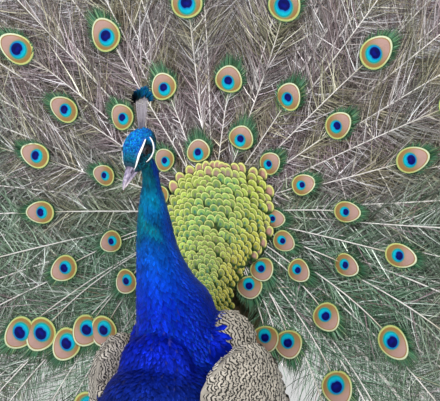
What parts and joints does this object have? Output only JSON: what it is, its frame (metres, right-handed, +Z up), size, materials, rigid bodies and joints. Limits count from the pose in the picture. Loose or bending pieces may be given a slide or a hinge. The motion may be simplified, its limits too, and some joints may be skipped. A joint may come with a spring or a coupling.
{
  "type": "displaying peacock",
  "caption": "Life-size still peacock with its train raised in a wide fan of eyed feathers, neck upright, crest spread and bill tipped down, standing on both feet.",
  "frame": {"origin": "on the floor, under the middle of the whole bird's box, between and a little behind the feet", "axes": "+Z up; the bird faces -Y; +X is the bird's left, along the width of the raised train"},
  "size_m": [2.2992, 0.4639, 1.7806],
  "materials": {
    "blue_plumage": "satin",
    "teal_plumage": "satin",
    "bill_horn": "satin",
    "eye_gloss": "gloss",
    "crest_vanes": "matte",
    "barred_feathers": "matte",
    "chestnut_feathers": "matte",
    "golden_scales": "satin",
    "dark_down": "matte",
    "train_vanes": "matte",
    "tail_vanes": "matte",
    "thigh_feathers": "matte",
    "leg_scales": "satin",
    "claw_horn": "satin"
  },
  "bodies": {
    "root": {"trunk": "blue_plumage", "neck_lower": "blue_plumage", "neck_middle": "blue_plumage", "neck_upper": "teal_plumage", "head": "blue_plumage", "bill_upper": "bill_horn", "bill_lower": "bill_horn", "eye_left": "eye_gloss", "eye_right": "eye_gloss", "crest": "crest_vanes", "wing_left": "barred_feathers", "wing_right": "barred_feathers", "primaries_left": "chestnut_feathers", "primaries_right": "chestnut_feathers", "back_shield": "golden_scales", "rump": "dark_down", "vent": "dark_down", "train_01": "train_vanes", "train_02": "train_vanes", "train_03": "train_vanes", "train_04": "train_vanes", "train_05": "train_vanes", "train_06": "train_vanes", "train_07": "train_vanes", "train_08": "train_vanes", "train_09": "train_vanes", "train_10": "train_vanes", "train_11": "train_vanes", "train_12": "train_vanes", "train_13": "train_vanes", "train_14": "train_vanes", "tail": "tail_vanes", "thigh_left": "thigh_feathers", "thigh_right": "thigh_feathers", "shank_left": "leg_scales", "shank_right": "leg_scales", "foot_left": "leg_scales", "foot_right": "leg_scales", "spur_left": "claw_horn", "spur_right": "claw_horn", "claw_inner_left": "claw_horn", "claw_inner_right": "claw_horn", "claw_middle_left": "claw_horn", "claw_middle_right": "claw_horn", "claw_outer_left": "claw_horn", "claw_outer_right": "claw_horn", "claw_hallux_left": "claw_horn", "claw_hallux_right": "claw_horn"}
  },
  "joints": []
}
